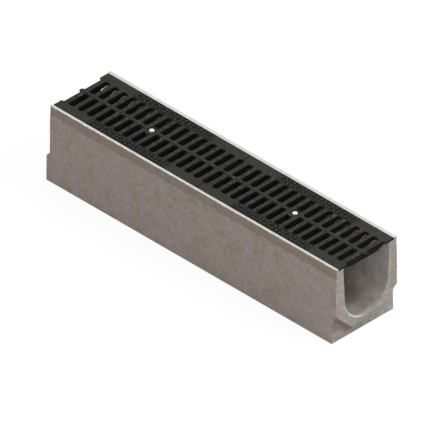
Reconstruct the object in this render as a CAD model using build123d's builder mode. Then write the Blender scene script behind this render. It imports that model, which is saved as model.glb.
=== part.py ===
from build123d import *
import math
import os

# Channel drain: one concrete channel a metre long, two galvanised edge rails cast into
# its walls, and two cast-iron slotted grates bolted down to locking bars that hook
# under pockets in the walls.
# Millimetres. X runs along the channel, Y across it, Z up. The origin lies on the
# ground under the middle of the whole object. Front is the -Y side, left the -X end.

os.makedirs("parts", exist_ok=True)

# Channel, concrete
channel_length = 1000.0  # from main end face to main end face, tongue not counted
channel_height = 228.0  # rails included
channel_width = 210.0  # over the smooth band at the top
band_height = 25.0  # smooth band along the top of each side
band_step = 1.1  # the side stands out this much below the band
side_spread = 1.7  # and spreads this much more, down to the base
trough_radius = 74.0
trough_floor = 46.5  # concrete under the lowest line of the trough
trough_draft = 3.0  # degrees, each trough wall leans outwards
mouth_chamfer = 2.0  # round the mouth of the trough at each end

# Joint between channels: the right end is a spigot with its lower corners set back,
# the left end carries the tongue that fills them
spigot_wall_height = 86.0  # where the shoulder meets the side wall, at the end face
spigot_floor_height = 30.0  # underside of the spigot at the end face
recess_depth = 14.5
recess_wall_height = 58.5  # the same two heights at the bottom of the recess
recess_floor_height = 16.5
tongue_depth = 11.5
tongue_wall_height = 71.5  # and at the tip of the tongue
tongue_floor_height = 19.5
shoulder_angle = 45.0  # degrees, slope of the shoulder across the end face

# Edge rails, folded galvanised sheet
rail_sheet = 2.0
rail_land = 8.9  # width of the rail's top
rail_bend = 0.5  # inner radius of its folds

# Rail anchors, flat steel welded under the rails
anchor_count = 4  # on each rail
anchor_width = 30.0
anchor_thickness = 3.0
anchor_length = 60.0
anchor_foot = 9.0  # reach of the bent foot, thickness included
anchor_cover = 10.0  # concrete between an anchor and the trough

# Grates, cast iron
grate_count = 2
grate_gap = 3.0  # between the ends of two grates
grate_side_gap = 0.75  # between a grate and the rail beside it
grate_flange = 5.0  # thickness of the rim that sits on the rails
grate_sink = 1.0  # grate top below the rail top
web_depth_side = 5.9  # depth of the bars at the side, from the grate top
web_depth_middle = 19.0  # and over their level middle
web_level_half = 48.0  # half the length of the level middle
web_bend = 40.0  # radius where the underside starts to rise
web_side_gap = 2.5  # between the bars' outer ends and the trough wall
slot_pitch = 31.05
slot_width = 18.6
slot_length = 62.4
slot_corner = 6.0  # radius of the corners of slots and half slots
centre_rib = 9.2  # iron between the two rows of slots
notch_depth = 7.8  # half slots at the ends of a grate
end_bar = 12.5  # least iron between a notch and the slots next to it
boss_diameter = 27.0  # it closes the inner ends of the two slots beside it
boss_reach = 5.5  # and runs this much further towards the front
boss_depth = 21.0  # from the grate top

# Lock bolt with a hexagon head, its washer and its nut
bolt_diameter = 8.0
bolt_length = 40.0  # under the head
bolt_end_chamfer = 0.8
head_width = 13.0  # across flats
head_height = 5.3
head_chamfer = 0.9  # on the corners of head and nut
head_sink = 0.7  # head top below the grate top
washer_diameter = 17.5
washer_thickness = 1.6
nut_height = 6.5
thread_gap = 0.1  # on the radius, between bolt and nut
hole_gap = 0.5  # on the radius, between bolt and plain holes
head_recess_gap = 2.0  # on the radius, between the washer and its recess

# Locking bar, flat steel across the trough
bar_width = 30.0
bar_thickness = 8.0
bar_drop = 30.0  # top of the bar below the rail top
bar_bite = 8.0  # each end reaches this far into a wall
bar_chamfer = 1.0
pocket_play = 2.0  # along the channel, on each side of the bar
pocket_room = 4.0  # under the bar
pocket_slack = 1.0  # lets the bar slide fully to one side and drop out

# Places worked out from the sizes above
right_end = (channel_length + tongue_depth) / 2
left_end = right_end - channel_length
tongue_end = left_end - tongue_depth
half_width = channel_width / 2
trough_centre_height = trough_floor + trough_radius
draft = math.radians(trough_draft)
riser_inner = half_width - rail_land
grate_top = channel_height - grate_sink
seat_height = grate_top - grate_flange
ledge_height = seat_height - rail_sheet
bay_length = channel_length / grate_count
grate_length = bay_length - grate_gap
grate_width = 2 * (riser_inner - grate_side_gap)
row_offset = (centre_rib + slot_length) / 2
last_slot_room = grate_length / 2 - notch_depth - end_bar - slot_width / 2
slots_each_way = int(last_slot_room / slot_pitch)  # from the middle of a grate
head_top = grate_top - head_sink
washer_top = head_top - head_height
recess_floor = washer_top - washer_thickness
bar_top = channel_height - bar_drop
bar_bottom = bar_top - bar_thickness
hole_radius = bolt_diameter / 2 + hole_gap
grate_centres = [left_end + bay_length * (bay + 0.5) for bay in range(grate_count)]
anchor_spacing = channel_length / anchor_count
anchor_centres = [left_end + anchor_spacing * (place + 0.5) for place in range(anchor_count)]


def finish(piece, name):
    """Name a finished piece and write it out."""
    piece.label = name
    export_step(piece, f"parts/{name}.step")


def trough_half_width(height):
    """Half the clear width of the trough at a height above its round floor."""
    lean = (height - trough_centre_height) * math.tan(draft)
    return trough_radius / math.cos(draft) + lean


def corner(sketch, x, y):
    """The corner of a sketch nearest to a point."""
    return sketch.vertices().sort_by_distance((x, y, 0))[0]


# Rails and their anchors
def make_rail(side):
    """Rail on one wall, folded as a top, a riser and a ledge; side is -1 or 1."""
    ledge_inner = trough_half_width(ledge_height)
    riser_outer = riser_inner + rail_sheet
    under_top = channel_height - rail_sheet
    with BuildPart() as rail:
        with BuildSketch(Plane.YZ.offset(left_end)) as section:
            with BuildLine():
                Polyline(
                    (side * half_width, channel_height),
                    (side * riser_inner, channel_height),
                    (side * riser_inner, seat_height),
                    (side * ledge_inner, seat_height),
                    (side * ledge_inner, ledge_height),
                    (side * riser_outer, ledge_height),
                    (side * riser_outer, under_top),
                    (side * half_width, under_top),
                    close=True,
                )
            make_face()
            fillet(corner(section, side * riser_inner, channel_height), rail_bend + rail_sheet)
            fillet(corner(section, side * riser_outer, ledge_height), rail_bend + rail_sheet)
            fillet(corner(section, side * riser_inner, seat_height), rail_bend)
            fillet(corner(section, side * riser_outer, under_top), rail_bend)
        extrude(amount=channel_length)
    return rail.part


def make_anchor(side, x_centre):
    """Strap under a rail's ledge, cast into the wall, its foot bent outwards."""
    inner = trough_half_width(ledge_height) + anchor_cover
    foot_end = ledge_height - anchor_length
    with BuildPart() as anchor:
        with BuildSketch(Plane.YZ.offset(x_centre - anchor_width / 2)):
            with BuildLine():
                Polyline(
                    (side * inner, ledge_height),
                    (side * (inner + anchor_thickness), ledge_height),
                    (side * (inner + anchor_thickness), foot_end + anchor_thickness),
                    (side * (inner + anchor_foot), foot_end + anchor_thickness),
                    (side * (inner + anchor_foot), foot_end),
                    (side * inner, foot_end),
                    close=True,
                )
            make_face()
        extrude(amount=anchor_width)
    return anchor.part


# Shapes taken out of the concrete
def trough_section(grown=0.0):
    """Section of the trough, leaning walls tangent to a round floor, in its own plane."""
    radius = trough_radius + grown
    side = radius * math.cos(draft)
    side_height = trough_centre_height - radius * math.sin(draft)
    top_half = trough_half_width(channel_height) + grown / math.cos(draft)
    with BuildSketch() as section:
        with BuildLine():
            floor_arc = ThreePointArc(
                (-side, side_height), (0, trough_centre_height - radius), (side, side_height)
            )
            Polyline(
                floor_arc @ 1,
                (top_half, channel_height),
                (-top_half, channel_height),
                floor_arc @ 0,
            )
        make_face()
    return section.sketch


def make_mouth(end_face, inwards):
    """Chamfer round the mouth of the trough; inwards is the way into the channel."""
    trough = trough_section()
    wider_trough = trough_section(mouth_chamfer)
    with BuildPart() as mouth:
        with BuildSketch(Plane.YZ.offset(end_face)):
            add(wider_trough)
        with BuildSketch(Plane.YZ.offset(end_face + inwards * mouth_chamfer)):
            add(trough)
        loft(ruled=True)
    return mouth.part


def make_shoulder(depth, wall_height, floor_height, end_face):
    """Spigot core from an end face to a depth behind it, wider at that depth."""
    slope = math.tan(math.radians(shoulder_angle))
    reach = half_width + band_height
    top = channel_height + band_height
    sections = [
        (end_face - depth, wall_height, floor_height),
        (end_face, spigot_wall_height, spigot_floor_height),
    ]
    with BuildPart() as core:
        for place, wall, floor in sections:
            with BuildSketch(Plane.YZ.offset(place)):
                with BuildLine():
                    Polyline(
                        (0, floor),
                        (half_width - (wall - floor) / slope, floor),
                        (reach, wall + (reach - half_width) * slope),
                        (reach, top),
                        (0, top),
                        close=True,
                    )
                make_face()
                mirror(about=Plane.YZ)
        loft(ruled=True)
    return core.part


def make_recess():
    """What is missing from the lower corners and the floor of the right end."""
    core = make_shoulder(recess_depth, recess_wall_height, recess_floor_height, right_end)
    with BuildPart() as recess:
        with BuildSketch(Plane.YZ.offset(right_end - recess_depth)):
            with Locations((0, channel_height / 2)):
                Rectangle(2 * channel_width, 2 * channel_height)
        extrude(amount=recess_depth)
        add(core, mode=Mode.SUBTRACT)
    return recess.part


def make_channel(cast_in):
    """The concrete channel, with room for what is cast into it."""
    base_half = half_width + band_step + side_spread
    side_half = half_width + band_step
    band_bottom = channel_height - band_height
    whole_length = channel_length + tongue_depth
    trough = trough_section()
    recess = make_recess()
    socket = make_shoulder(tongue_depth, tongue_wall_height, tongue_floor_height, left_end)
    mouths = [make_mouth(right_end, -1), make_mouth(left_end, 1)]
    with BuildPart() as channel:
        with BuildSketch(Plane.YZ.offset(tongue_end)):
            with BuildLine():
                Polyline(
                    (0, 0),
                    (base_half, 0),
                    (side_half, band_bottom - band_step),
                    (half_width, band_bottom),
                    (half_width, channel_height - rail_sheet / 2),
                    (0, channel_height - rail_sheet / 2),
                    close=True,
                )
            make_face()
            mirror(about=Plane.YZ)
        extrude(amount=whole_length)

        with BuildSketch(Plane.YZ.offset(tongue_end)):
            add(trough)
        extrude(amount=whole_length, mode=Mode.SUBTRACT)

        # The seats of the rails, down to the middle of their sheet
        with BuildSketch(Plane.YZ.offset(tongue_end)):
            with Locations((0, channel_height)):
                Rectangle(2 * riser_inner + rail_sheet, 2 * (channel_height - seat_height) + rail_sheet)
        extrude(amount=whole_length, mode=Mode.SUBTRACT)

        # Spigot at the right end, socket and tongue at the left end
        for piece in [recess, socket] + mouths:
            add(piece, mode=Mode.SUBTRACT)

        # Pockets for the ends of the locking bars
        pocket_depth = 2 * bar_bite + pocket_slack
        pocket_span = 2 * (trough_half_width(bar_top) + pocket_depth)
        for x_centre in grate_centres:
            with BuildSketch(Plane((x_centre, 0, bar_bottom - pocket_room))):
                Rectangle(bar_width + 2 * pocket_play, pocket_span)
            extrude(amount=bar_thickness + pocket_room, mode=Mode.SUBTRACT)

        for piece in cast_in:
            add(piece, mode=Mode.SUBTRACT)
    return channel.part


# Grates
def make_grate(x_centre):
    """One grate: rim, bars deeper at mid-span, two rows of slots and a boss for the bolt."""
    web_half = trough_half_width(seat_height) - web_side_gap
    web_length = grate_length - 2 * notch_depth
    columns = [slot_pitch * place for place in range(-slots_each_way, slots_each_way + 1)]
    rows = (-row_offset, row_offset)
    slots = [(x, y) for x in columns for y in rows]
    notches = [(x, y) for x in (-grate_length / 2, grate_length / 2) for y in rows]
    top_plane = Plane((x_centre, 0, grate_top))
    with BuildPart() as grate:
        with BuildSketch(top_plane):
            Rectangle(grate_length, grate_width)
        extrude(amount=-grate_flange)
        with BuildSketch(Plane.YZ.offset(x_centre - web_length / 2)) as section:
            with BuildLine():
                Polyline(
                    (-web_half, seat_height),
                    (-web_half, grate_top - web_depth_side),
                    (-web_level_half, grate_top - web_depth_middle),
                    (web_level_half, grate_top - web_depth_middle),
                    (web_half, grate_top - web_depth_side),
                    (web_half, seat_height),
                    close=True,
                )
            make_face()
            for bend in (-web_level_half, web_level_half):
                fillet(corner(section, bend, grate_top - web_depth_middle), web_bend)
        extrude(amount=web_length)
        with BuildSketch(top_plane):
            with Locations(*slots):
                RectangleRounded(slot_width, slot_length, slot_corner)
            with Locations(*notches):
                RectangleRounded(2 * notch_depth, slot_length, slot_corner)
        extrude(amount=-2 * web_depth_middle, mode=Mode.SUBTRACT)
        with BuildSketch(top_plane):
            with Locations((0, -boss_reach / 2)):
                SlotOverall(boss_diameter + boss_reach, boss_diameter, rotation=90)
        extrude(amount=-boss_depth)
        with BuildSketch(top_plane):
            Circle(washer_diameter / 2 + head_recess_gap)
        extrude(amount=recess_floor - grate_top, mode=Mode.SUBTRACT)
        with BuildSketch(top_plane):
            Circle(hole_radius)
        extrude(amount=-boss_depth, mode=Mode.SUBTRACT)
    return grate.part


# Locking hardware of one grate
def make_bolt(x_centre):
    """Bolt with a hexagon head, the corners of the head turned off."""
    corner_radius = head_width / math.sqrt(3)
    with BuildPart() as bolt:
        with BuildSketch(Plane((x_centre, 0, washer_top))):
            Circle(corner_radius)
        extrude(amount=head_height)
        chamfer(bolt.edges().sort_by(Axis.Z)[-1], head_chamfer)
        with BuildSketch(Plane((x_centre, 0, washer_top))):
            RegularPolygon(radius=head_width / 2, side_count=6, major_radius=False)
        extrude(amount=head_height, mode=Mode.INTERSECT)
        with BuildSketch(Plane((x_centre, 0, washer_top))):
            Circle(bolt_diameter / 2)
        extrude(amount=-bolt_length)
        chamfer(bolt.edges().sort_by(Axis.Z)[0], bolt_end_chamfer)
    return bolt.part


def make_washer(x_centre):
    """Plain washer on the floor of the head recess."""
    with BuildPart() as washer:
        with BuildSketch(Plane((x_centre, 0, recess_floor))):
            Circle(washer_diameter / 2)
            Circle(hole_radius, mode=Mode.SUBTRACT)
        extrude(amount=washer_thickness)
    return washer.part


def make_bar(x_centre):
    """Flat bar across the trough, hooked under the top of a pocket at each end."""
    bar_length = 2 * (trough_half_width(bar_top) + bar_bite)
    with BuildPart() as bar:
        with BuildSketch(Plane((x_centre, 0, bar_bottom))):
            Rectangle(bar_width, bar_length)
            Circle(hole_radius, mode=Mode.SUBTRACT)
        extrude(amount=bar_thickness)
        chamfer(bar.faces().sort_by(Axis.Z)[0].outer_wire().edges(), bar_chamfer)
    return bar.part


def make_nut(x_centre):
    """Hexagon nut against the underside of the locking bar."""
    with BuildPart() as nut:
        with BuildSketch(Plane((x_centre, 0, bar_bottom))):
            Circle(head_width / math.sqrt(3))
        extrude(amount=-nut_height)
        chamfer(nut.edges().sort_by(Axis.Z)[0], head_chamfer)
        with BuildSketch(Plane((x_centre, 0, bar_bottom))):
            RegularPolygon(radius=head_width / 2, side_count=6, major_radius=False)
        extrude(amount=-nut_height, mode=Mode.INTERSECT)
        with BuildSketch(Plane((x_centre, 0, bar_bottom))):
            Circle(bolt_diameter / 2 + thread_gap)
        extrude(amount=-nut_height, mode=Mode.SUBTRACT)
    return nut.part


# Build and write every piece
cast_in = []
for side, side_name in ((-1, "front"), (1, "back")):
    rail = make_rail(side)
    finish(rail, f"edge_rail_{side_name}")
    cast_in.append(rail)
    for number, x_centre in enumerate(anchor_centres, start=1):
        anchor = make_anchor(side, x_centre)
        finish(anchor, f"rail_anchor_{side_name}_{number}")
        cast_in.append(anchor)

finish(make_channel(cast_in), "channel_body")

for number, x_centre in enumerate(grate_centres, start=1):
    finish(make_grate(x_centre), f"grate_{number}")
    finish(make_bolt(x_centre), f"lock_bolt_{number}")
    finish(make_washer(x_centre), f"lock_washer_{number}")
    finish(make_bar(x_centre), f"locking_bar_{number}")
    finish(make_nut(x_centre), f"lock_nut_{number}")
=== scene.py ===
import math
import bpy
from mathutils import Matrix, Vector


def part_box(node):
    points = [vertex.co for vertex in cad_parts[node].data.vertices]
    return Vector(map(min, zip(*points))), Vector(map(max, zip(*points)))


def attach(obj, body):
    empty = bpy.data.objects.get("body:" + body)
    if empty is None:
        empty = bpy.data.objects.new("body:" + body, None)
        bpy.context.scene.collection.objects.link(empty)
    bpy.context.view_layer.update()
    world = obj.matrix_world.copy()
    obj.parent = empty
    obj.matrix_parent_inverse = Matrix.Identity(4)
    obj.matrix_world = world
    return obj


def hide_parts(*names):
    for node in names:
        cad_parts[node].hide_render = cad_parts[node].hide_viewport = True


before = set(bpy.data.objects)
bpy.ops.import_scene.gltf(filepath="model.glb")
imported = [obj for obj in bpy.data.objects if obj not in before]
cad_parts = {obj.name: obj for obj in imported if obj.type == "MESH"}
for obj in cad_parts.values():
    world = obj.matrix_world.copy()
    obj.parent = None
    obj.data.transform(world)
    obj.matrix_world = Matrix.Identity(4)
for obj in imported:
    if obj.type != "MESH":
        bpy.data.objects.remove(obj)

from types import SimpleNamespace

import bmesh
import bpy
from mathutils import Matrix, Vector

bl_info = {
    "name": "Channel drain finish",
    "version": (1, 0, 0),
    "blender": (4, 5, 0),
    "location": "3D View > Sidebar > Channel drain",
    "description": "Finishes the concrete, rails, grates and bolts of a channel drain",
    "category": "Add Mesh",
}

SIDES = (-1, 1)
UP = Vector((0, 0, 1))

# Limits for work on the frame's meshes, in metres and radians
MERGE_DISTANCE = 2e-6
TOUCH = 1e-5
FLAT_ANGLE = math.radians(0.6)
CORNER_ANGLE = math.radians(25)
SMOOTH_ANGLE = math.radians(33)

# Places read from the frame, in metres
body_low, body_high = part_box("channel_body")
rail_low, rail_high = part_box("edge_rail_front")
grate_boxes = {name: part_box(name) for name in ("grate_1", "grate_2")}
bolt_boxes = {name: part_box(name) for name in ("lock_bolt_1", "lock_bolt_2")}
rail_top = rail_high.z
half_width = -rail_low.y
grate_top = grate_boxes["grate_1"][1].z


# Kinds of setting
def colour_setting(name, description, default):
    """A colour."""
    return bpy.props.FloatVectorProperty(
        name=name, description=description, default=default, subtype="COLOR", min=0.0, max=1.0
    )


def length_setting(name, description, default, least=0.0):
    """A length, in metres."""
    return bpy.props.FloatProperty(
        name=name, description=description, default=default, min=least, unit="LENGTH"
    )


def share_setting(name, description, default):
    """A share from 0 to 1."""
    return bpy.props.FloatProperty(
        name=name, description=description, default=default, min=0.0, max=1.0
    )


def angle_setting(name, description, degrees):
    """An angle, its default given in degrees."""
    return bpy.props.FloatProperty(
        name=name, description=description, default=math.radians(degrees), subtype="ANGLE"
    )


def count_setting(name, description, default, least=1):
    """A whole number."""
    return bpy.props.IntProperty(name=name, description=description, default=default, min=least)


# Settings
class ConcreteSettings(bpy.types.PropertyGroup):
    """Sizes and colours of the concrete."""

    side_colour: colour_setting("Side", "Main colour of the rough sides", (0.388, 0.318, 0.294))
    blotch_colour: colour_setting(
        "Blotches", "Colour of the olive blotches on the sides", (0.338, 0.302, 0.238)
    )
    band_colour: colour_setting("Band", "Colour of the smooth band under the rails", (0.285, 0.236, 0.196))
    end_colour: colour_setting("Ends", "Colour of the end faces", (0.362, 0.338, 0.306))
    end_blotch_colour: colour_setting(
        "End blotches", "Colour of the pinkish blotches on the end faces", (0.385, 0.332, 0.308)
    )
    end_back_colour: colour_setting(
        "Ends, back and bottom",
        "Greener colour of the back and the bottom of the end faces",
        (0.300, 0.286, 0.240),
    )
    # Painted light: a paler tone that offsets the shade on the set-back face
    set_back_light_colour: colour_setting(
        "Set-back face", "Colour of the set-back face below and behind the mouth", (0.372, 0.358, 0.318)
    )
    # Painted shade on the set-back face under the spigot's front corner
    recess_shade_colour: colour_setting(
        "Recess",
        "Browner colour of the set-back face just under the spigot's front corner",
        (0.235, 0.195, 0.160),
    )
    # Painted shade on the faces that look down, paler at their foot
    flank_shade_colour: colour_setting(
        "Flanks", "Colour of the faces under the spigot, which look down", (0.215, 0.160, 0.128)
    )
    flank_foot_shade_colour: colour_setting(
        "Foot of the flanks",
        "Colour of the faces that look down where they reach the set-back face",
        (0.300, 0.245, 0.205),
    )
    trough_colour: colour_setting("Trough", "Colour of the smooth trough", (0.4584, 0.4223, 0.3893))
    # Painted shadow on the trough's floor past its lit lip
    floor_shadow_colour: colour_setting(
        "Deep trough", "Colour of the trough's floor well inside the channel", (0.196, 0.168, 0.141)
    )
    # Painted shade low down in the trough, well inside the channel
    inner_shade_colour: colour_setting("Silt", "Colour of the dirt well inside the trough", (0.054, 0.049, 0.043))
    # Painted highlight on the low front part of the trough's mouth
    arris_highlight_colour: colour_setting(
        "Arris", "Colour of the bare cement on the low part of the trough's mouth", (0.76, 0.74, 0.70)
    )
    dark_speck_colour: colour_setting("Dark specks", "Colour of the dark specks", (0.140, 0.115, 0.100))
    fine_speck_colour: colour_setting(
        "Fine specks", "Colour of the finer dark specks", (0.160, 0.135, 0.120)
    )
    light_speck_colour: colour_setting("Light specks", "Colour of the light specks", (0.62, 0.57, 0.52))
    mouth_radius: length_setting(
        "Mouth radius", "Radius of the round bottom of the trough's mouth, on the end face", 0.076
    )
    mouth_centre: length_setting(
        "Mouth centre", "Height of the middle of that round bottom above the ground", 0.1205
    )
    # Width of the painted highlight round the mouth on the end face
    ring_width: length_setting(
        "Ring width", "Width of the bare cement on the end face, round the mouth", 0.0022
    )
    band_height: length_setting("Band height", "Height of the smooth band at the top of each side", 0.025)
    edge_radius: length_setting("Edge radius", "Rounding of the cast edges", 0.0012)
    edge_segments: count_setting("Edge segments", "Steps across a rounded edge", 3)


class IronSettings(bpy.types.PropertyGroup):
    """Sizes and colours of the cast grates."""

    rib_colour: colour_setting("Ribs", "Colour of the ribs between the slots", (0.037, 0.036, 0.036))
    margin_colour: colour_setting(
        "Margins", "Colour of the plain margins along the rails", (0.037, 0.037, 0.030)
    )
    worn_margin_colour: colour_setting(
        "Margins, worn", "Colour of the greyer patches on the margins", (0.0380, 0.0380, 0.0355)
    )
    stain_colour: colour_setting(
        "Stains", "Colour of the soft stains on ribs and margins", (0.048, 0.046, 0.040)
    )
    rubbed_colour: colour_setting("Rubbed specks", "Colour of the rubbed specks", (0.110, 0.107, 0.105))
    pit_colour: colour_setting("Pits", "Colour of the small dark pits", (0.014, 0.014, 0.013))
    # Painted shade on the margins between the slanted lugs
    pattern_shade_colour: colour_setting(
        "Pattern ground", "Colour of the margins between the slanted lugs", (0.0105, 0.011, 0.0082)
    )
    # Painted light on the studs' back halves
    stud_lit_colour: colour_setting(
        "Studs, rubbed", "Colour of the studs' rubbed back halves", (0.140, 0.137, 0.132)
    )
    # Painted shade on the studs' front halves and painted shadow on the ribs in front of them
    stud_shade_colour: colour_setting(
        "Studs, dirty", "Colour of the studs' front halves, where dirt stays", (0.009, 0.009, 0.008)
    )
    # Painted light on the tops of the slanted lugs
    lug_top_light_colour: colour_setting(
        "Lug tops", "Colour of the rubbed tops of the slanted lugs", (0.062, 0.062, 0.057)
    )
    # Painted shade on the walls of the slots and the grates' outer sides
    wall_shade_colour: colour_setting(
        "Slot walls",
        "Colour of the walls of the slots and of the grates' outer sides",
        (0.0068, 0.0065, 0.0056),
    )
    # Painted light that lifts the painted shade on walls that look to the front
    front_wall_light_colour: colour_setting(
        "Slot walls, front", "Colour of the dustier walls that look to the front", (0.0240, 0.0232, 0.0200)
    )
    # Painted shade on the walls at the ends of each grate
    end_wall_shade_colour: colour_setting(
        "End walls", "Colour of the walls at the ends of each grate", (0.0100, 0.0097, 0.0086)
    )
    end_wall_reach: length_setting(
        "End wall reach", "How far in from a grate's ends the end walls go", 0.0085
    )
    edge_radius: length_setting("Edge radius", "Rounding of the top edges", 0.0011)
    edge_segments: count_setting("Edge segments", "Steps across a rounded edge", 3)
    rib_pitch: length_setting("Rib pitch", "Distance from one slot to the next", 0.03105, least=0.001)
    slot_columns: count_setting("Slot columns", "Slots in each row of a grate", 15)
    slot_row_end: length_setting("Row end", "Outer end of the slots, from the middle of the grate", 0.0670)
    stud_diameter: length_setting("Stud diameter", "Width of the small studs on the ribs", 0.0080)
    stud_pitch: length_setting(
        "Stud pitch", "Distance between the studs on a rib, across the grate", 0.0264, least=0.001
    )
    stud_height: length_setting("Stud height", "How far the studs and lugs stand above the grate", 0.0009)
    lug_length: length_setting("Lug length", "Length of the slanted lugs on the margins", 0.0138)
    lug_width: length_setting("Lug width", "Width of the slanted lugs", 0.0049)
    lug_pitch: length_setting("Lug pitch", "Distance between lugs along the grate", 0.0135, least=0.001)
    lug_stretch: length_setting("Lug stretch", "Length of each margin that carries lugs", 0.270)


class SteelSettings(bpy.types.PropertyGroup):
    """Sizes and colours of the rails, anchors and fixings."""

    zinc_colour: colour_setting("Zinc", "Colour of the galvanised rails", (0.72, 0.706, 0.655))
    # A duller, browner colour for the rails' outer edges and cut ends
    dull_edge_colour: colour_setting(
        "Cement film", "Colour of the cement on the rails' outer edges and cut ends", (0.30, 0.265, 0.225)
    )
    bolt_colour: colour_setting("Bolts", "Colour of the bright bolts", (0.864, 0.864, 0.8544))
    # Painted shade on the sides and thread of the bolts
    bolt_side_shade_colour: colour_setting(
        "Bolt sides", "Colour of the duller sides and thread of the bolts", (0.32, 0.32, 0.31)
    )
    plate_colour: colour_setting("Fixings", "Colour of the bars, nuts and washers", (0.52, 0.52, 0.50))
    anchor_colour: colour_setting("Anchors", "Colour of the anchors in the concrete", (0.36, 0.36, 0.35))
    thread_pitch: length_setting("Thread pitch", "Pitch of the bolts' thread", 0.00125, least=0.0002)
    thread_depth: length_setting("Thread depth", "Depth of the bolts' thread", 0.00065, least=0.0001)
    thread_steps: count_setting("Thread steps", "Steps round one turn of the thread", 20, least=8)


class StageSettings(bpy.types.PropertyGroup):
    """Floor, lights and camera."""

    floor_colour: colour_setting("Floor", "Colour of the floor, as the object sees it", (0.80, 0.80, 0.79))
    floor_glow: share_setting(
        "Floor glow", "How bright the floor looks to the camera in full shadow", 0.90
    )
    floor_shade: share_setting(
        "Floor shade", "How much of the light on the floor the camera sees, which sets its shadow", 0.15
    )
    floor_size: length_setting("Floor size", "Width of the floor", 12.0, least=1.0)
    sky_level: bpy.props.FloatProperty(
        name="Sky level",
        description="Brightness of the even light from all round",
        default=0.62,
        min=0.0,
    )
    key_power: bpy.props.FloatProperty(
        name="Key power",
        description="Power of the main lamp, in watts",
        default=38.0,
        min=0.0,
    )
    key_azimuth: angle_setting("Key azimuth", "Direction of the main lamp round the object", 118)
    key_elevation: angle_setting("Key elevation", "Height of the main lamp above the horizon", 48)
    lamp_distance: length_setting(
        "Lamp distance", "Distance of the lamp from the middle of the object", 3.0, least=0.5
    )
    lamp_size: length_setting("Lamp size", "Width of the lamp", 2.2, least=0.1)
    camera_azimuth: angle_setting("Camera azimuth", "Direction of the camera round the object", 45)
    camera_elevation: bpy.props.FloatProperty(
        name="Camera elevation",
        description="Height of the camera above the horizon",
        default=math.atan(1 / math.sqrt(2)),
        subtype="ANGLE",
    )
    picture_width: length_setting("Picture width", "Width of what the camera sees", 1.0864, least=0.1)
    picture_right: bpy.props.FloatProperty(
        name="Picture centre, right",
        description="Middle of the picture, right of the origin as the camera sees it",
        default=-0.0044,
        unit="LENGTH",
    )
    picture_up: bpy.props.FloatProperty(
        name="Picture centre, up",
        description="Middle of the picture, above the origin as the camera sees it",
        default=0.0626,
        unit="LENGTH",
    )
    camera_distance: length_setting(
        "Camera distance", "Distance of the camera from the object", 4.0, least=1.0
    )


# Shader helpers
def feed(tree, socket, value):
    """Give a socket its value, or link the socket that feeds it."""
    if isinstance(value, bpy.types.NodeSocket):
        tree.links.new(value, socket)
    else:
        socket.default_value = value


def feed_node(tree, fed, inputs):
    """Feed the inputs of a node, each with a value or from a socket."""
    for name, value in inputs.items():
        feed(tree, fed.inputs[name], value)


def node(tree, kind, inputs=None, **settings):
    """Add a node with its settings and its inputs."""
    made = tree.nodes.new(kind)
    for name, value in settings.items():
        setattr(made, name, value)
    feed_node(tree, made, inputs or {})
    return made


def math_node(tree, operation, *values):
    """One sum on numbers, and its result."""
    return node(tree, "ShaderNodeMath", dict(enumerate(values)), operation=operation).outputs[0]


def product(tree, first, *others):
    """Numbers or masks multiplied together."""
    for other in others:
        first = math_node(tree, "MULTIPLY", first, other)
    return first


def larger(tree, first, second):
    """The larger of two numbers."""
    return math_node(tree, "MAXIMUM", first, second)


def ramp(tree, value, low, high, to_low=0.0, to_high=1.0):
    """A smooth step of a value, from low to high."""
    made = node(
        tree,
        "ShaderNodeMapRange",
        {"Value": value, "From Min": low, "From Max": high, "To Min": to_low, "To Max": to_high},
        interpolation_type="SMOOTHSTEP",
    )
    return made.outputs["Result"]


def fade(tree, value, low, high, from_share=1.0):
    """A smooth step down to nothing, from low to high."""
    return ramp(tree, value, low, high, from_share, 0.0)


def between(tree, mask, first, last):
    """A mask from 0 to 1 turned into values from the first number to the last."""
    return ramp(tree, mask, 0.0, 1.0, first, last)


def rest(tree, mask):
    """What a mask leaves over."""
    return math_node(tree, "SUBTRACT", 1.0, mask)


def mix_colour(tree, share, first, second, blend="MIX"):
    """Two colours mixed by a share."""
    made = tree.nodes.new("ShaderNodeMix")
    made.data_type = "RGBA"
    made.blend_type = blend
    given = {"Factor_Float": share, "A_Color": first, "B_Color": second}
    for socket in made.inputs:
        if socket.identifier in given:
            value = given[socket.identifier]
            plain = isinstance(value, (float, bpy.types.NodeSocket))
            feed(tree, socket, value if plain else (*value, 1.0))
    return next(socket for socket in made.outputs if socket.identifier == "Result_Color")


def shaded(tree, colour, shade):
    """A colour made darker or lighter by a shade."""
    return mix_colour(tree, 1.0, colour, shade, "MULTIPLY")


def parts(tree, vector):
    """The X, Y and Z parts of a vector."""
    return node(tree, "ShaderNodeSeparateXYZ", {"Vector": vector}).outputs


def facing_parts(tree):
    """The X, Y and Z parts of the direction that the surface faces."""
    return parts(tree, node(tree, "ShaderNodeNewGeometry").outputs["True Normal"])


def bump(tree, height, strength, distance):
    """Bump from a height, and its normal."""
    inputs = {"Height": height, "Strength": strength, "Distance": distance}
    return node(tree, "ShaderNodeBump", inputs).outputs["Normal"]


def new_material(name):
    """A material with its tree, its Principled shader and its Object coordinates."""
    material = bpy.data.materials.new(name)
    material.use_nodes = True
    tree = material.node_tree
    shader = tree.nodes["Principled BSDF"]
    place = node(tree, "ShaderNodeTexCoord").outputs["Object"]
    return material, tree, shader, place


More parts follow.
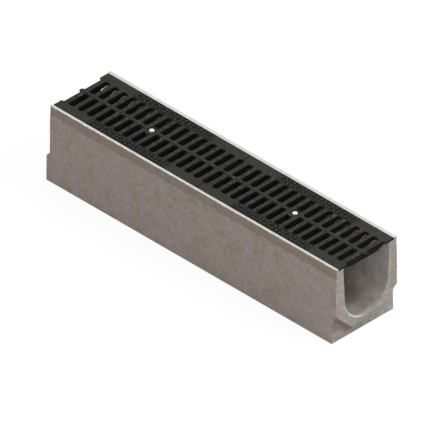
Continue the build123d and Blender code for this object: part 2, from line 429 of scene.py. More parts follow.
# Shared effects
def new_group(name, numbers, result_name):
    """An empty node group on a place and some numbers, with its inputs and its result."""
    tree = bpy.data.node_groups.new(name, "ShaderNodeTree")
    tree.interface.new_socket(name="Vector", in_out="INPUT", socket_type="NodeSocketVector")
    for label, value in numbers.items():
        socket = tree.interface.new_socket(name=label, in_out="INPUT", socket_type="NodeSocketFloat")
        socket.default_value = value
    tree.interface.new_socket(name=result_name, in_out="OUTPUT", socket_type="NodeSocketFloat")
    given = node(tree, "NodeGroupInput").outputs
    return tree, given, node(tree, "NodeGroupOutput").inputs[result_name]


def blotches_group():
    """Soft irregular patches: a mask from 0 to 1."""
    tree, given, mask = new_group("Blotches", {"Size": 0.03, "Contrast": 0.2}, "Mask")
    scale = math_node(tree, "DIVIDE", 1.0, given["Size"])
    noise = node(
        tree,
        "ShaderNodeTexNoise",
        {"Vector": given["Vector"], "Scale": scale, "Detail": 5.0, "Roughness": 0.6},
    )
    low = math_node(tree, "SUBTRACT", 0.5, given["Contrast"])
    high = math_node(tree, "ADD", 0.5, given["Contrast"])
    tree.links.new(ramp(tree, noise.outputs["Fac"], low, high), mask)


def specks_group():
    """Scattered specks of uneven size and shape: a mask from 0 to 1."""
    numbers = {"Spacing": 0.005, "Share": 0.3, "Width": 0.4, "Raggedness": 0.9}
    tree, given, mask = new_group("Specks", numbers, "Mask")
    core_share = 0.6
    swirls_per_speck = 1.7
    middle = (0.5, 0.5, 0.5)
    scale = math_node(tree, "DIVIDE", 1.0, given["Spacing"])
    swirl = node(
        tree,
        "ShaderNodeTexNoise",
        {"Vector": given["Vector"], "Scale": product(tree, scale, swirls_per_speck), "Detail": 2.0},
    )
    vector_sum = "ShaderNodeVectorMath"
    either_way = node(tree, vector_sum, {0: swirl.outputs["Color"], 1: middle}, operation="SUBTRACT")
    reach = product(tree, given["Spacing"], given["Raggedness"])
    push = node(tree, vector_sum, {0: either_way.outputs[0], "Scale": reach}, operation="SCALE")
    pushed = node(tree, vector_sum, {0: given["Vector"], 1: push.outputs[0]}, operation="ADD")
    cells = node(tree, "ShaderNodeTexVoronoi", {"Vector": pushed.outputs[0], "Scale": scale})
    chance = node(tree, "ShaderNodeSeparateColor", {"Color": cells.outputs["Color"]})
    chosen = math_node(tree, "LESS_THAN", chance.outputs["Red"], given["Share"])
    width = product(tree, given["Width"], chance.outputs["Green"])
    spot = fade(tree, cells.outputs["Distance"], product(tree, width, core_share), width)
    tree.links.new(product(tree, spot, chosen), mask)


def grain_group():
    """Fine grain with small pits, for bump and for roughness."""
    tree, given, height = new_group("Grain", {"Size": 0.002, "Pits": 0.5}, "Height")
    pits_per_grain = 0.45
    pit_core, pit_edge = 0.08, 0.3
    scale = math_node(tree, "DIVIDE", 1.0, given["Size"])
    noise = node(
        tree,
        "ShaderNodeTexNoise",
        {"Vector": given["Vector"], "Scale": scale, "Detail": 3.0, "Roughness": 0.65},
    )
    pit_scale = product(tree, scale, pits_per_grain)
    cells = node(tree, "ShaderNodeTexVoronoi", {"Vector": given["Vector"], "Scale": pit_scale})
    pit = fade(tree, cells.outputs["Distance"], pit_core, pit_edge)
    pit_depth = product(tree, pit, given["Pits"])
    tree.links.new(math_node(tree, "SUBTRACT", noise.outputs["Fac"], pit_depth), height)


def use_group(tree, name, inputs):
    """One of the shared groups, placed in a material with its own values."""
    return node(tree, "ShaderNodeGroup", inputs, node_tree=bpy.data.node_groups[name]).outputs[0]


def blotches(tree, place, size, contrast):
    """A mask of soft patches."""
    return use_group(tree, "Blotches", {"Vector": place, "Size": size, "Contrast": contrast})


def clouded(tree, colour, place, size, contrast, least, most):
    """A colour whose brightness varies softly from least to most."""
    return shaded(tree, colour, between(tree, blotches(tree, place, size, contrast), least, most))


def specked(tree, colour, tint, place, strengths, spacing, share, width):
    """A colour with scattered specks of a tint laid over it."""
    inputs = {"Vector": place, "Spacing": spacing, "Share": share, "Width": width}
    marks = product(tree, use_group(tree, "Specks", inputs), *strengths)
    return mix_colour(tree, marks, colour, tint)


def grain(tree, place, size, pits):
    """The height of a fine grain."""
    return use_group(tree, "Grain", {"Vector": place, "Size": size, "Pits": pits})


# Concrete
def concrete_point(tree, place):
    """Where a point of the channel lies, in metres, and which way its surface faces."""
    axes = parts(tree, place)
    facing = facing_parts(tree)
    return SimpleNamespace(
        place=place,
        y=axes["Y"],
        across=math_node(tree, "ABSOLUTE", axes["Y"]),
        height=math_node(tree, "SUBTRACT", axes["Z"], body_low.z),
        inwards=math_node(tree, "SUBTRACT", body_high.x, math_node(tree, "ABSOLUTE", axes["X"])),
        endwise=math_node(tree, "ABSOLUTE", facing["X"]),
        upwards=facing["Z"],
    )


def concrete_masks(tree, point, settings):
    """Masks of the band on the sides, the trough, the ends and the faces that look down."""
    band_waver = 0.004
    band_blur_below, band_blur_above = 0.002, 0.003
    side_depth = 0.002
    trough_clear = 0.020
    ground_clear = 0.003
    end_slope = (0.45, 0.80)
    down_slope = (-0.45, -0.15)
    uneven = blotches(tree, point.place, size=0.035, contrast=0.3)
    waved = math_node(tree, "MULTIPLY_ADD", uneven, band_waver, point.height)
    band_bottom = rail_top - body_low.z - settings.band_height
    in_height = ramp(tree, waved, band_bottom - band_blur_below, band_bottom + band_blur_above)
    on_side = math_node(tree, "GREATER_THAN", point.across, half_width - side_depth)
    inside = math_node(tree, "LESS_THAN", point.across, half_width - trough_clear)
    above_base = math_node(tree, "GREATER_THAN", point.height, trough_clear)
    off_ground = math_node(tree, "GREATER_THAN", point.height, ground_clear)
    return SimpleNamespace(
        band=product(tree, in_height, on_side),
        trough=product(tree, inside, above_base),
        end=ramp(tree, point.endwise, *end_slope),
        # Faces that look down, which take painted shade
        flank=product(tree, fade(tree, point.upwards, *down_slope), off_ground),
    )


def arris_highlight_mask(tree, point, masks, settings):
    """Where a painted highlight lies: along the low front part of the trough's mouth."""
    slant_slope = (0.3, 0.5)
    end_slope = (0.8, 0.9)
    rim_depths = (0.003, 0.007)
    least_rise = 0.02
    ring_strength = 0.7
    ring_places = (-0.058, -0.040)
    low_heights = (0.100, 0.130)
    front_places = (-0.036, 0.004)
    slant = ramp(tree, point.endwise, *slant_slope)
    slant = product(tree, slant, fade(tree, point.endwise, *end_slope))
    rim = product(tree, masks.trough, fade(tree, point.inwards, *rim_depths))
    rim = product(tree, rim, rest(tree, masks.end))
    looks_up = math_node(tree, "GREATER_THAN", point.upwards, least_rise)
    lip = product(tree, larger(tree, slant, rim), looks_up)
    above_centre = math_node(tree, "SUBTRACT", point.height, settings.mouth_centre)
    spoke = node(tree, "ShaderNodeCombineXYZ", {"Y": point.y, "Z": above_centre})
    length = node(tree, "ShaderNodeVectorMath", {0: spoke.outputs[0]}, operation="LENGTH")
    ring_end = settings.mouth_radius + settings.ring_width
    ring = fade(tree, length.outputs["Value"], settings.mouth_radius, ring_end)
    front_end = product(tree, masks.end, fade(tree, point.y, *ring_places))
    ring = product(tree, ring, front_end, ring_strength)
    low = fade(tree, point.height, *low_heights)
    front = fade(tree, point.y, *front_places)
    return product(tree, larger(tree, lip, ring), low, front)


def trough_tone(tree, point, settings):
    """Colour of the trough: pale at its mouth, with painted shadow and painted shade farther in."""
    floor_slope = (0.58, 0.98)
    lip_depths = (0.009, 0.019)
    floor_depths = (0.040, 0.090)
    wall_depths = (0.085, 0.135)
    inner_shade_depths = (0.135, 0.300)
    inner_shade_heights = (0.182, 0.211)
    wall_shade = 0.74
    inner_shade_share = 0.85
    step_share = 0.5
    # Painted shadow on the trough's floor, darker past the lip and farther in
    past_lip = ramp(tree, point.inwards, *lip_depths, 0.0, step_share)
    far_inside = ramp(tree, point.inwards, *floor_depths, 0.0, step_share)
    darkening = math_node(tree, "ADD", past_lip, far_inside)
    floor_shadow = product(tree, ramp(tree, point.upwards, *floor_slope), darkening)
    tone = mix_colour(tree, floor_shadow, settings.trough_colour, settings.floor_shadow_colour)
    # Painted shade on the trough farther in from the mouth
    tone = shaded(tree, tone, ramp(tree, point.inwards, *wall_depths, 1.0, wall_shade))
    # Painted shade low down in the trough, well inside
    far_in = ramp(tree, point.inwards, *inner_shade_depths)
    inner_shade = product(tree, far_in, fade(tree, point.height, *inner_shade_heights, inner_shade_share))
    tone = mix_colour(tree, inner_shade, tone, settings.inner_shade_colour)
    return clouded(tree, tone, point.place, size=0.028, contrast=0.3, least=0.87, most=1.12)


def end_tone(tree, point, settings):
    """Colour of the ends: greener at the back and below, painted shade in the front recess, painted light
    on the set-back face.
    """
    beside_places = (0.078, 0.096)
    under_heights = (0.035, 0.060)
    under_places = (-0.075, -0.020)
    recess_depths = (0.006, 0.012)
    recess_shade_heights = (0.012, 0.050)
    recess_shade_places = (-0.085, -0.050)
    pale_places = (-0.040, 0.020)
    green_share, recess_shade_share, pale_share = 0.85, 0.75, 0.9
    patch = blotches(tree, point.place, size=0.04, contrast=0.12)
    tone = mix_colour(tree, patch, settings.end_colour, settings.end_blotch_colour)
    beside = ramp(tree, point.y, *beside_places)
    under = fade(tree, point.height, *under_heights)
    under = product(tree, under, ramp(tree, point.y, *under_places))
    green = product(tree, larger(tree, beside, under), green_share)
    tone = mix_colour(tree, green, tone, settings.end_back_colour)
    set_back = ramp(tree, point.inwards, *recess_depths)
    # Painted shade on the set-back face under the spigot's front corner
    corner = ramp(tree, point.height, *recess_shade_heights)
    corner = product(tree, corner, fade(tree, point.y, *recess_shade_places), set_back, recess_shade_share)
    tone = mix_colour(tree, corner, tone, settings.recess_shade_colour)
    # Painted light that makes the set-back face paler
    paler = product(tree, set_back, ramp(tree, point.y, *pale_places, 0.0, pale_share))
    tone = mix_colour(tree, paler, tone, settings.set_back_light_colour)
    return clouded(tree, tone, point.place, size=0.009, contrast=0.3, least=0.87, most=1.08)


def flank_shade_tone(tree, point, settings):
    """Painted shade on the faces that look down: paler at their foot."""
    foot_depths = (0.0070, 0.0145)
    foot = ramp(tree, point.inwards, *foot_depths)
    return mix_colour(tree, foot, settings.flank_shade_colour, settings.flank_foot_shade_colour)


def concrete_material(settings):
    """Cast concrete: speckled sides, a smooth band on top, smoother ends and trough."""
    material, tree, shader, place = new_material("concrete")
    point = concrete_point(tree, place)
    masks = concrete_masks(tree, point, settings)
    arris = arris_highlight_mask(tree, point, masks, settings)

    # How coarse each part is, from 1 on the rough sides
    end_smoothness = 0.4
    smoothness = 0.65
    smooth = larger(tree, masks.band, masks.trough)
    smooth = larger(tree, smooth, product(tree, masks.end, end_smoothness))
    coarseness = math_node(tree, "MULTIPLY_ADD", smooth, -smoothness, 1.0)

    # Colour
    least_blotch = 0.45
    blotch = ramp(tree, blotches(tree, place, size=0.045, contrast=0.16), least_blotch, 1.0)
    colour = mix_colour(tree, blotch, settings.side_colour, settings.blotch_colour)
    colour = mix_colour(tree, masks.trough, colour, trough_tone(tree, point, settings))
    colour = mix_colour(tree, masks.end, colour, end_tone(tree, point, settings))
    colour = mix_colour(tree, masks.band, colour, settings.band_colour)
    # Painted shade on the faces that look down
    colour = mix_colour(tree, masks.flank, colour, flank_shade_tone(tree, point, settings))
    # Painted highlight along the low front part of the mouth
    colour = mix_colour(tree, arris, colour, settings.arris_highlight_colour)
    colour = clouded(tree, colour, place, size=0.018, contrast=0.35, least=0.90, most=1.08)
    for tint, strength, spacing, share, width in (
        (settings.dark_speck_colour, 0.46, 0.0085, 0.30, 0.6),
        (settings.fine_speck_colour, 0.45, 0.0042, 0.35, 0.5),
        (settings.light_speck_colour, 0.26, 0.0080, 0.26, 0.6),
    ):
        strengths = (coarseness, strength)
        colour = specked(tree, colour, tint, place, strengths, spacing, share, width)

    # Surface
    sand = grain(tree, place, size=0.0022, pits=0.7)
    swell = blotches(tree, place, size=0.012, contrast=0.4)
    relief = product(tree, math_node(tree, "ADD", sand, swell), coarseness)
    inputs = {
        "Base Color": colour,
        "Normal": bump(tree, relief, strength=0.5, distance=0.0007),
        "Roughness": between(tree, sand, 0.94, 0.78),
        "Specular IOR Level": 0.3,
    }
    feed_node(tree, shader, inputs)
    return material


# Iron
def iron_masks(tree, place, settings):
    """Masks of a grate's margins, lugs, walls, raised tops, studs' lit halves and painted stud shadows."""
    margin_blur_in, margin_blur_out = 0.001, 0.003
    stretch_blur = 0.004
    wall_slope = (0.45, 0.85)
    front_slope = (-0.9, -0.5)
    lit_slope = (-0.12, 0.12)
    top_rises = (0.0003, 0.0008)
    shadow_before_stud = 0.0042
    shadow_spread = (0.0008, 0.0026)
    shadow_share = 0.55
    axes = parts(tree, place)
    facing = facing_parts(tree)
    across = math_node(tree, "ABSOLUTE", axes["Y"])
    row_end = settings.slot_row_end
    margin = ramp(tree, across, row_end - margin_blur_in, row_end + margin_blur_out)
    top_low, top_high = (grate_top + rise for rise in top_rises)

    # Distance from the middle of the nearer grate
    low, high = grate_boxes["grate_1"]
    half_grate = (high.x - low.x) / 2
    half_pitch = (grate_boxes["grate_2"][0].x - low.x) / 2
    from_middle = math_node(tree, "SUBTRACT", axes["X"], (low.x + high.x) / 2)
    from_middle = math_node(tree, "WRAP", from_middle, half_pitch, -half_pitch)
    from_middle = math_node(tree, "ABSOLUTE", from_middle)
    half_stretch = settings.lug_stretch / 2
    stretch = fade(tree, from_middle, half_stretch - stretch_blur, half_stretch + stretch_blur)

    # Painted shadow on the ribs just in front of each stud
    past_stud = math_node(tree, "WRAP", axes["Y"], settings.stud_pitch, 0.0)
    from_shadow = math_node(tree, "SUBTRACT", past_stud, settings.stud_pitch - shadow_before_stud)
    cast_shadow = fade(tree, math_node(tree, "ABSOLUTE", from_shadow), *shadow_spread, shadow_share)
    return SimpleNamespace(
        margin=margin,
        patterned=product(tree, stretch, margin),
        wall=fade(tree, facing["Z"], *wall_slope),
        front_wall=fade(tree, facing["Y"], *front_slope),
        end_wall=math_node(tree, "GREATER_THAN", from_middle, half_grate - settings.end_wall_reach),
        raised=ramp(tree, axes["Z"], top_low, top_high),
        lit_half=ramp(tree, facing["Y"], *lit_slope),
        painted_shade=product(tree, cast_shadow, rest(tree, margin)),
    )


def iron_material(settings):
    """Black cast iron: grainy ribs, calmer margins, rubbed specks, and painted light and shade on studs,
    lugs and walls.
    """
    material, tree, shader, place = new_material("black_iron")
    masks = iron_masks(tree, place, settings)
    worn_share, stain_share = 0.8, 0.35
    margin_smoothness = 0.7
    coarseness = math_node(tree, "MULTIPLY_ADD", masks.margin, -margin_smoothness, 1.0)

    # Ribs and margins
    worn = product(tree, blotches(tree, place, size=0.022, contrast=0.12), worn_share)
    margins = mix_colour(tree, worn, settings.margin_colour, settings.worn_margin_colour)
    colour = mix_colour(tree, masks.margin, settings.rib_colour, margins)
    stained = product(tree, blotches(tree, place, size=0.03, contrast=0.25), stain_share)
    colour = mix_colour(tree, stained, colour, settings.stain_colour)
    # Painted shade on the margins between the slanted lugs
    colour = mix_colour(tree, masks.patterned, colour, settings.pattern_shade_colour)
    for tint, strength, spacing, share, width in (
        (settings.rubbed_colour, 0.75, 0.0085, 0.34, 0.55),
        (settings.pit_colour, 0.70, 0.0070, 0.36, 0.5),
    ):
        strengths = (coarseness, strength)
        colour = specked(tree, colour, tint, place, strengths, spacing, share, width)
    # Painted shadow on the ribs in front of each stud
    colour = mix_colour(tree, masks.painted_shade, colour, settings.stud_shade_colour)

    # Studs, lugs and walls, with painted light on their lit parts and painted shade on the rest
    # Painted light on the studs' lit halves, painted shade on their front halves
    stud = mix_colour(tree, masks.lit_half, settings.stud_shade_colour, settings.stud_lit_colour)
    # Painted light on the lugs' tops
    raised = mix_colour(tree, masks.patterned, stud, settings.lug_top_light_colour)
    colour = mix_colour(tree, masks.raised, colour, raised)
    # Painted shade on the walls, lifted on walls that look to the front
    walls = mix_colour(tree, masks.front_wall, settings.wall_shade_colour, settings.front_wall_light_colour)
    walls = mix_colour(tree, masks.end_wall, walls, settings.end_wall_shade_colour)
    colour = mix_colour(tree, masks.wall, colour, walls)

    # Surface
    wall_roughness = 0.95
    sand = grain(tree, place, size=0.0034, pits=0.4)
    relief = product(tree, sand, coarseness)
    rough = between(tree, sand, 0.74, 0.56)
    inputs = {
        "Base Color": colour,
        "Normal": bump(tree, relief, strength=0.8, distance=0.0012),
        "Roughness": larger(tree, rough, product(tree, masks.wall, wall_roughness)),
        "Specular IOR Level": 0.10,
    }
    feed_node(tree, shader, inputs)
    return material


# Steel
def dull_edge_mask(tree, place):
    """Where the rails take a duller, browner colour: on their outer edges and on their cut ends."""
    edge_waver = 0.0008
    edge_blur = 0.0006
    cut_depths = (0.0002, 0.0008)
    axes = parts(tree, place)
    across = math_node(tree, "ABSOLUTE", axes["Y"])
    uneven = blotches(tree, place, size=0.008, contrast=0.35)
    waved = math_node(tree, "MULTIPLY_ADD", uneven, edge_waver, across)
    edge = ramp(tree, waved, half_width, half_width + edge_blur)
    from_middle = math_node(tree, "SUBTRACT", axes["X"], (rail_low.x + rail_high.x) / 2)
    half_length = (rail_high.x - rail_low.x) / 2
    from_end = math_node(tree, "SUBTRACT", half_length, math_node(tree, "ABSOLUTE", from_middle))
    return larger(tree, edge, fade(tree, from_end, *cut_depths))


def zinc_material(name, base, roughness, spangle, dullness, dull_edge_colour=None, side_colour=None):
    """Zinc-coated steel: crystals of uneven brightness with soft dull patches."""
    material, tree, shader, place = new_material(name)
    dull_shade = 0.72
    speck_share = 0.25
    extra_roughness = 0.2
    side_slope = (0.5, 0.85)
    side_roughness, dull_edge_roughness = 0.65, 0.9
    crystals = node(tree, "ShaderNodeTexVoronoi", {"Vector": place, "Scale": 1 / spangle})
    chance = node(tree, "ShaderNodeSeparateColor", {"Color": crystals.outputs["Color"]})
    colour = shaded(tree, base, between(tree, chance.outputs["Red"], 0.92, 1.05))
    dull = product(tree, blotches(tree, place, size=0.02, contrast=0.2), dullness)
    dull_colour = tuple(dull_shade * channel for channel in base)
    colour = mix_colour(tree, dull, colour, dull_colour)
    strengths = (speck_share,)
    colour = specked(tree, colour, dull_colour, place, strengths, spacing=0.004, share=0.15, width=0.3)
    sand = grain(tree, place, size=0.0012, pits=0.15)
    rough = between(tree, dull, roughness, roughness + extra_roughness)
    shader.inputs["Metallic"].default_value = 1.0
    # Painted shade on the sides, which are also rougher
    if side_colour:
        side = fade(tree, facing_parts(tree)["Z"], *side_slope)
        colour = mix_colour(tree, side, colour, side_colour)
        rough = larger(tree, rough, product(tree, side, side_roughness))
    # A duller, browner, rougher, non-metal colour on the rails' outer edges and cut ends
    if dull_edge_colour:
        film = dull_edge_mask(tree, place)
        colour = mix_colour(tree, film, colour, dull_edge_colour)
        rough = larger(tree, rough, product(tree, film, dull_edge_roughness))
        tree.links.new(rest(tree, film), shader.inputs["Metallic"])
    inputs = {
        "Base Color": colour,
        "Normal": bump(tree, sand, strength=0.25, distance=0.00012),
        "Roughness": rough,
    }
    feed_node(tree, shader, inputs)
    return material


def dress(starts, material):
    """Give one material, in place of what they had, to the frame nodes whose names start so."""
    for name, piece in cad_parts.items():
        if name.startswith(starts):
            if not piece.material_slots:
                piece.data.materials.append(material)
            for slot in piece.material_slots:
                slot.material = material


# Mesh helpers
def merged_copy(name):
    """A mesh of a frame node, its loose triangles joined and its flat faces whole."""
    mesh = bmesh.new()
    mesh.from_mesh(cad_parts[name].data)
    bmesh.ops.remove_doubles(mesh, verts=mesh.verts, dist=MERGE_DISTANCE)
    bmesh.ops.dissolve_limit(
        mesh,
        angle_limit=FLAT_ANGLE,
        use_dissolve_boundaries=False,
        verts=mesh.verts,
        edges=mesh.edges,
        delimit=set(),
    )
    return mesh


def is_sharp(edge):
    """Whether an edge is a clear outward corner."""
    return edge.is_manifold and edge.is_convex and edge.calc_face_angle() > CORNER_ANGLE


def round_edges(mesh, edges, radius, segments):
    """Round some edges of a mesh."""
    bmesh.ops.bevel(
        mesh,
        geom=edges,
        offset=radius,
        offset_type="OFFSET",
        affect="EDGES",
        segments=segments,
        profile=0.5,
        material=-1,
        clamp_overlap=True,
    )


def add_object(name, data):
    """A new object in the scene."""
    made = bpy.data.objects.new(name, data)
    bpy.context.scene.collection.objects.link(made)
    return made


def finish_piece(mesh, name, material, node_name):
    """Turn a mesh into a piece that stands for a frame node."""
    data = bpy.data.meshes.new(name)
    mesh.to_mesh(data)
    mesh.free()
    for face in data.polygons:
        face.use_smooth = True
    data.set_sharp_from_angle(angle=SMOOTH_ANGLE)
    piece = add_object(name, data)
    data.materials.append(material)
    shading = piece.modifiers.new("Even shading", "WEIGHTED_NORMAL")
    shading.keep_sharp = True
    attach(piece, "root")
    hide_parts(node_name)


# Pieces
class DRAIN_OT_concrete(bpy.types.Operator):
    """Give the concrete channel its rounded edges and its surface"""

    bl_idname = "drain.concrete"
    bl_label = "Concrete channel"
    below_rail = 0.003
    side_reach = 0.0015
    wall_reach = 0.02

    def execute(self, context):
        settings = context.scene.drain_concrete
        mesh = merged_copy("channel_body")
        edges = [edge for edge in mesh.edges if is_sharp(edge) and self.shows(edge)]
        round_edges(mesh, edges, settings.edge_radius, settings.edge_segments)
        material = concrete_material(settings)
        finish_piece(mesh, "concrete_channel", material, "channel_body")
        return {"FINISHED"}

    def shows(self, edge):
        """Whether an edge lies on the outer sides, or in the trough below the rails' seats."""
        return all(
            abs(corner.co.y) > half_width - self.side_reach
            or corner.co.z < rail_low.z - self.below_rail
            and abs(corner.co.y) < half_width - self.wall_reach
            for corner in edge.verts
        )


class DRAIN_OT_rails(bpy.types.Operator):
    """Give the edge rails and their anchors their zinc coats"""

    bl_idname = "drain.rails"
    bl_label = "Edge rails and anchors"

    def execute(self, context):
        settings = context.scene.drain_steel
        rail = zinc_material(
            "galvanised_rail",
            settings.zinc_colour,
            roughness=0.42,
            spangle=0.007,
            dullness=0.25,
            dull_edge_colour=tuple(settings.dull_edge_colour),
        )
        anchor = zinc_material(
            "galvanised_anchor", settings.anchor_colour, roughness=0.6, spangle=0.005, dullness=0.5
        )
        dress("edge_rail", rail)
        dress("rail_anchor", anchor)
        return {"FINISHED"}


class DRAIN_OT_grates(bpy.types.Operator):
    """Round the grates' top edges and raise their studs and slanted lugs"""

    bl_idname = "drain.grates"
    bl_label = "Cast grates"
    round_steps = 12
    buried = 0.0003
    stud_top_share = 0.25
    lug_foot, lug_top = 0.5, 0.36
    lug_turn = math.radians(45)
    lug_lines = (0.30, 0.70)
    stud_rows = range(-2, 3)

    def execute(self, context):
        settings = context.scene.drain_iron
        material = iron_material(settings)
        for number, (name, (low, high)) in enumerate(grate_boxes.items(), start=1):
            mesh = merged_copy(name)
            edges = [
                edge
                for edge in mesh.edges
                if is_sharp(edge) and all(corner.co.z > high.z - TOUCH for corner in edge.verts)
            ]
            round_edges(mesh, edges, settings.edge_radius, settings.edge_segments)
            middle = Vector(((low.x + high.x) / 2, 0, high.z))
            self.add_studs(mesh, middle, settings)
            self.add_lugs(mesh, middle, high.y, settings)
            finish_piece(mesh, f"cast_grate_{number}", material, name)
        return {"FINISHED"}

    def add_studs(self, mesh, middle, settings):
        """Round studs along each rib between two slots, and on the ribs at the ends."""
        rib_count = settings.slot_columns + 1
        foot_radius = settings.stud_diameter / 2
        for rib in range(rib_count):
            along = (rib - (rib_count - 1) / 2) * settings.rib_pitch
            for row in self.stud_rows:
                place = middle + Vector((along, row * settings.stud_pitch, 0))
                top_radius = foot_radius * self.stud_top_share
                self.add_raised(mesh, place, foot_radius, top_radius, settings.stud_height)

    def add_lugs(self, mesh, middle, half, settings):
        """Lugs that lean one way and then the other, in two lines on each margin."""
        count = int(settings.lug_stretch / settings.lug_pitch)
        margin = half - settings.slot_row_end
        size = Matrix.Diagonal((settings.lug_length, settings.lug_width, 1, 1))
        for number in range(count):
            along = (number - (count - 1) / 2) * settings.lug_pitch
            for line_number, line in enumerate(self.lug_lines):
                leaning = 1 if (number + line_number) % 2 else -1
                shape = Matrix.Rotation(leaning * self.lug_turn, 4, "Z") @ size
                for side in SIDES:
                    across = side * (settings.slot_row_end + line * margin)
                    place = middle + Vector((along, across, 0))
                    height = settings.stud_height
                    self.add_raised(mesh, place, self.lug_foot, self.lug_top, height, shape)

    def add_raised(self, mesh, place, foot, top, height, shape=Matrix.Identity(4)):
        """A low form with sloping sides on the grate's top, its foot a little buried."""
        bmesh.ops.create_cone(
            mesh,
            cap_ends=True,
            segments=self.round_steps,
            radius1=foot,
            radius2=top,
            depth=height + self.buried,
            matrix=Matrix.Translation(place + UP * (height - self.buried) / 2) @ shape,
        )


class DRAIN_OT_bolts(bpy.types.Operator):
    """Cut the thread of the lock bolts and give them a bright finish"""

    bl_idname = "drain.bolts"
    bl_label = "Lock bolts"
    cut_depth = 2e-5
    head_clear = 1e-4
    head_corner = math.radians(20)
    head_rounding = 0.00018
    head_segments = 2
    crest_radius = 0.004
    crest_share, root_share = 0.06, 0.47
    point_length = 0.0008
    ridge_buried = 0.0002
    core_segments = 24

    def execute(self, context):
        settings = context.scene.drain_steel
        material = zinc_material(
            "bright_bolt",
            settings.bolt_colour,
            roughness=0.3,
            spangle=0.0015,
            dullness=0.1,
            side_colour=tuple(settings.bolt_side_shade_colour),
        )
        for number, (name, (low, high)) in enumerate(bolt_boxes.items(), start=1):
            washer_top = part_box(f"lock_washer_{number}")[1].z
            mesh = merged_copy(name)
            bmesh.ops.bisect_plane(
                mesh,
                geom=mesh.verts[:] + mesh.edges[:] + mesh.faces[:],
                plane_co=(0, 0, washer_top - self.cut_depth),
                plane_no=UP,
                clear_inner=True,
            )
            rim = [edge for edge in mesh.edges if edge.is_boundary]
            bmesh.ops.holes_fill(mesh, edges=rim, sides=0)
            head_edges = [
                edge
                for edge in mesh.edges
                if edge.is_manifold
                and edge.calc_face_angle() > self.head_corner
                and min(corner.co.z for corner in edge.verts) > washer_top + self.head_clear
            ]
            round_edges(mesh, head_edges, self.head_rounding, self.head_segments)
            middle = Vector(((low.x + high.x) / 2, 0, 0))
            self.add_thread(mesh, middle, low.z, washer_top, settings)
            finish_piece(mesh, f"hex_bolt_{number}", material, name)
        return {"FINISHED"}

    def add_thread(self, mesh, middle, bottom, top, settings):
        """The shank: a core with a point, and the ridge of the thread wound round it."""
        pitch = settings.thread_pitch
        root_radius = self.crest_radius - settings.thread_depth
        crest_half, root_half = pitch * self.crest_share, pitch * self.root_share
        self.add_core(mesh, middle + UP * bottom, root_radius, top - bottom)
        turns = int((top - bottom - 2 * self.point_length) / pitch)
        start = middle + UP * (bottom + self.point_length + root_half)
        foot_radius = root_radius - self.ridge_buried
        profile = (
            (foot_radius, -root_half),
            (self.crest_radius, -crest_half),
            (self.crest_radius, crest_half),
            (foot_radius, root_half),
        )
        corners = [mesh.verts.new(start + Vector((out, 0, rise))) for out, rise in profile]
        first = mesh.faces.new(corners)
        bmesh.ops.spin(
            mesh,
            geom=first.edges[:] + corners,
            cent=middle,
            axis=UP,
            dvec=UP * pitch / settings.thread_steps,
            angle=2 * math.pi * turns,
            steps=turns * settings.thread_steps,
            use_merge=False,
            use_duplicate=False,
        )
        open_edges = [edge for edge in mesh.edges if edge.is_boundary]
        bmesh.ops.holes_fill(mesh, edges=open_edges, sides=len(profile))
        bmesh.ops.recalc_face_normals(mesh, faces=mesh.faces[:])

    def add_core(self, mesh, foot, radius, length):
        """The plain core of the shank, with a short cone at its foot."""
        point = self.point_length
        for start, end, foot_radius in ((0, point, radius - point / 2), (point, length, radius)):
            bmesh.ops.create_cone(
                mesh,
                cap_ends=True,
                segments=self.core_segments,
                radius1=foot_radius,
                radius2=radius,
                depth=end - start,
                matrix=Matrix.Translation(foot + UP * (start + end) / 2),
            )


class DRAIN_OT_fixings(bpy.types.Operator):
    """Give the washers, locking bars and nuts their plated finish"""

    bl_idname = "drain.fixings"
    bl_label = "Washers, bars and nuts"

    def execute(self, context):
        settings = context.scene.drain_steel
        material = zinc_material(
            "plated_steel", settings.plate_colour, roughness=0.45, spangle=0.003, dullness=0.45
        )
        dress(("lock_washer", "locking_bar", "lock_nut"), material)
        return {"FINISHED"}


# Stage
def direction(azimuth, elevation):
    """Unit vector from the object towards a place at these angles."""
    level = math.cos(elevation)
    return Vector((math.sin(azimuth) * level, -math.cos(azimuth) * level, math.sin(elevation)))


def seen_plainly(tree):
    """1 for rays from the camera, from a mirror or through glass, else 0."""
    path = node(tree, "ShaderNodeLightPath").outputs
    seen = larger(tree, path["Is Camera Ray"], path["Is Glossy Ray"])
    return larger(tree, seen, path["Is Transmission Ray"])


def floor_material(settings):
    """White floor that shows the camera only a faint shadow."""
    material = bpy.data.materials.new("pale_floor")
    material.use_nodes = True
    tree = material.node_tree
    tree.nodes.clear()
    shade = settings.floor_shade
    plain = node(tree, "ShaderNodeBsdfDiffuse", {"Color": (*settings.floor_colour, 1.0)})
    faint = node(tree, "ShaderNodeBsdfDiffuse", {"Color": (shade, shade, shade, 1.0)})
    glow = node(tree, "ShaderNodeEmission", {"Strength": settings.floor_glow})
    shown = node(tree, "ShaderNodeAddShader", {0: faint.outputs[0], 1: glow.outputs[0]})
    inputs = {0: seen_plainly(tree), 1: plain.outputs[0], 2: shown.outputs[0]}
    mixed = node(tree, "ShaderNodeMixShader", inputs)
    node(tree, "ShaderNodeOutputMaterial", {"Surface": mixed.outputs[0]})
    return material


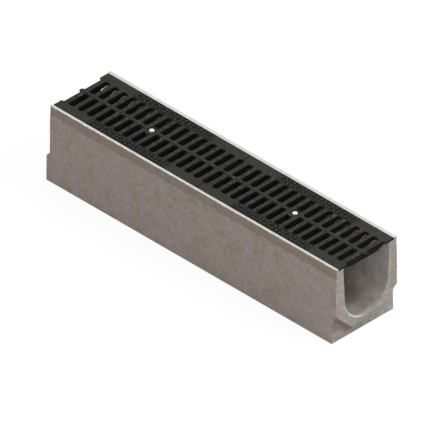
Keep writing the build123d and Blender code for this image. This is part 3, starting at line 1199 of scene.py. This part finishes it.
class DRAIN_OT_stage(bpy.types.Operator):
    """Lay the floor and set up the lamp, the sky and the camera"""

    bl_idname = "drain.stage"
    bl_label = "Stage"
    floor_drop = 0.0002
    white = (1.0, 1.0, 1.0, 1.0)

    def execute(self, context):
        settings = context.scene.drain_stage
        self.lay_floor(settings)
        self.light_sky(context.scene, settings)
        self.hang_lamp(settings)
        self.place_camera(context.scene, settings)
        context.scene.view_settings.view_transform = "Standard"
        return {"FINISHED"}

    def lay_floor(self, settings):
        """A large floor just under the object."""
        mesh = bmesh.new()
        bmesh.ops.create_grid(mesh, x_segments=1, y_segments=1, size=settings.floor_size / 2)
        bmesh.ops.translate(mesh, vec=-UP * self.floor_drop, verts=mesh.verts)
        data = bpy.data.meshes.new("floor")
        mesh.to_mesh(data)
        mesh.free()
        data.materials.append(floor_material(settings))
        floor = add_object("floor", data)

    def light_sky(self, scene, settings):
        """Even light from all round, which the camera sees as white."""
        world = bpy.data.worlds.new("sky")
        world.use_nodes = True
        tree = world.node_tree
        background = tree.nodes["Background"]
        background.inputs["Color"].default_value = self.white
        level = between(tree, seen_plainly(tree), settings.sky_level, 1.0)
        tree.links.new(level, background.inputs["Strength"])
        scene.world = world

    def hang_lamp(self, settings):
        """The main lamp, turned to the object."""
        lamp = bpy.data.lights.new("key_lamp", "AREA")
        lamp.shape = "SQUARE"
        lamp.size = settings.lamp_size
        lamp.energy = settings.key_power
        towards = direction(settings.key_azimuth, settings.key_elevation)
        holder = add_object("key_lamp", lamp)
        holder.location = towards * settings.lamp_distance
        holder.rotation_mode = "QUATERNION"
        holder.rotation_quaternion = towards.to_track_quat("Z", "Y")

    def place_camera(self, scene, settings):
        """The camera of the main view, without perspective."""
        back = direction(settings.camera_azimuth, settings.camera_elevation)
        right = UP.cross(back).normalized()
        upwards = back.cross(right)
        aim = right * settings.picture_right + upwards * settings.picture_up
        lens = bpy.data.cameras.new("camera")
        lens.type = "ORTHO"
        lens.ortho_scale = settings.picture_width
        lens.clip_end = 4 * settings.camera_distance
        camera = add_object("camera", lens)
        camera.location = aim + back * settings.camera_distance
        camera.rotation_mode = "QUATERNION"
        camera.rotation_quaternion = (-back).to_track_quat("-Z", "Y")
        scene.camera = camera


# Add-on
OPERATORS = (
    DRAIN_OT_concrete,
    DRAIN_OT_rails,
    DRAIN_OT_grates,
    DRAIN_OT_bolts,
    DRAIN_OT_fixings,
    DRAIN_OT_stage,
)
SETTINGS = {
    "drain_concrete": ConcreteSettings,
    "drain_iron": IronSettings,
    "drain_steel": SteelSettings,
    "drain_stage": StageSettings,
}


class DRAIN_PT_panel(bpy.types.Panel):
    """The settings and the steps of the channel drain"""

    bl_label = "Channel drain"
    bl_idname = "DRAIN_PT_panel"
    bl_space_type = "VIEW_3D"
    bl_region_type = "UI"
    bl_category = "Channel drain"

    def draw(self, context):
        for name, group in SETTINGS.items():
            box = self.layout.box()
            settings = getattr(context.scene, name)
            for setting in group.__annotations__:
                box.prop(settings, setting)
        for operator in OPERATORS:
            self.layout.operator(operator.bl_idname)


def register():
    for name, group in SETTINGS.items():
        bpy.utils.register_class(group)
        setattr(bpy.types.Scene, name, bpy.props.PointerProperty(type=group))
    for operator in OPERATORS:
        bpy.utils.register_class(operator)
    bpy.utils.register_class(DRAIN_PT_panel)


def unregister():
    bpy.utils.unregister_class(DRAIN_PT_panel)
    for operator in reversed(OPERATORS):
        bpy.utils.unregister_class(operator)
    for name, group in SETTINGS.items():
        delattr(bpy.types.Scene, name)
        bpy.utils.unregister_class(group)


def main():
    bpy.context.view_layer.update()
    register()
    for make_group in (blotches_group, specks_group, grain_group):
        make_group()
    bpy.ops.drain.concrete()
    bpy.ops.drain.rails()
    bpy.ops.drain.grates()
    bpy.ops.drain.bolts()
    bpy.ops.drain.fixings()
    bpy.ops.drain.stage()


if __name__ == "__main__":
    main()
